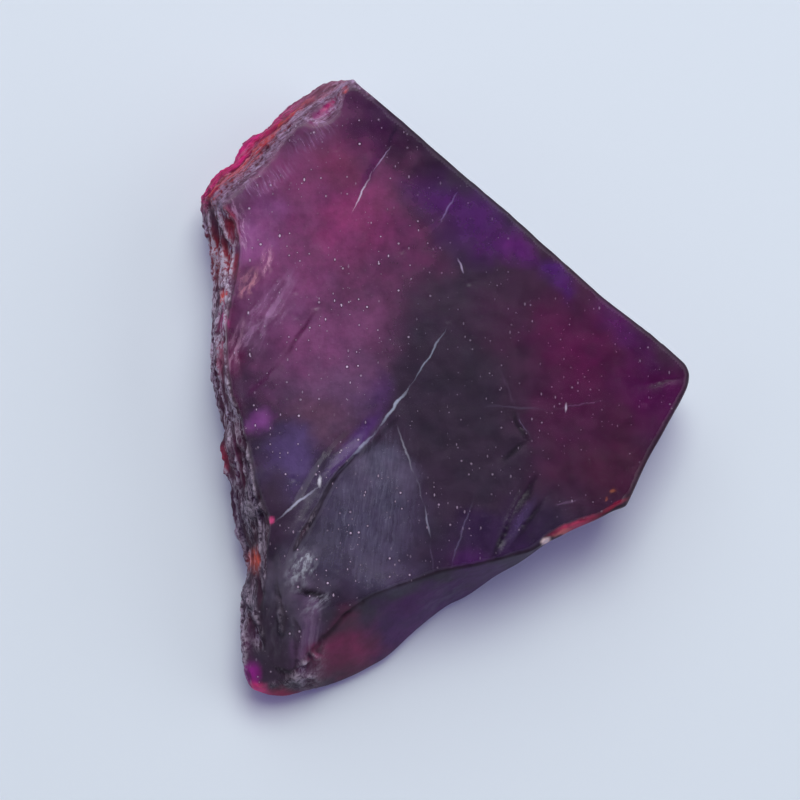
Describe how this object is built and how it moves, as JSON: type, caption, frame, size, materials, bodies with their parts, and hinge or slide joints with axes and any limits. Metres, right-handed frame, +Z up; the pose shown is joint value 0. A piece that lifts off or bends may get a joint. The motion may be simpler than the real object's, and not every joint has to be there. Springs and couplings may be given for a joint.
{
  "type": "rough sapphire",
  "caption": "Rough purple sapphire fragment: a broken, slab-shaped crystal with a flake scar and splintered edges, lying on its flat back.",
  "frame": {"origin": "on the table, under the middle of the stone's bounding box", "axes": "+Z up from the flat back to the broad front face; +Y from the narrow foot to the apex, along the stone; +X towards the long straight side"},
  "size_m": [0.052, 0.0662, 0.0129],
  "materials": {
    "sapphire": "satin, dark translucent violet to magenta, frosted on the broken sides"
  },
  "bodies": {
    "root": {"stone": "sapphire"}
  },
  "joints": []
}
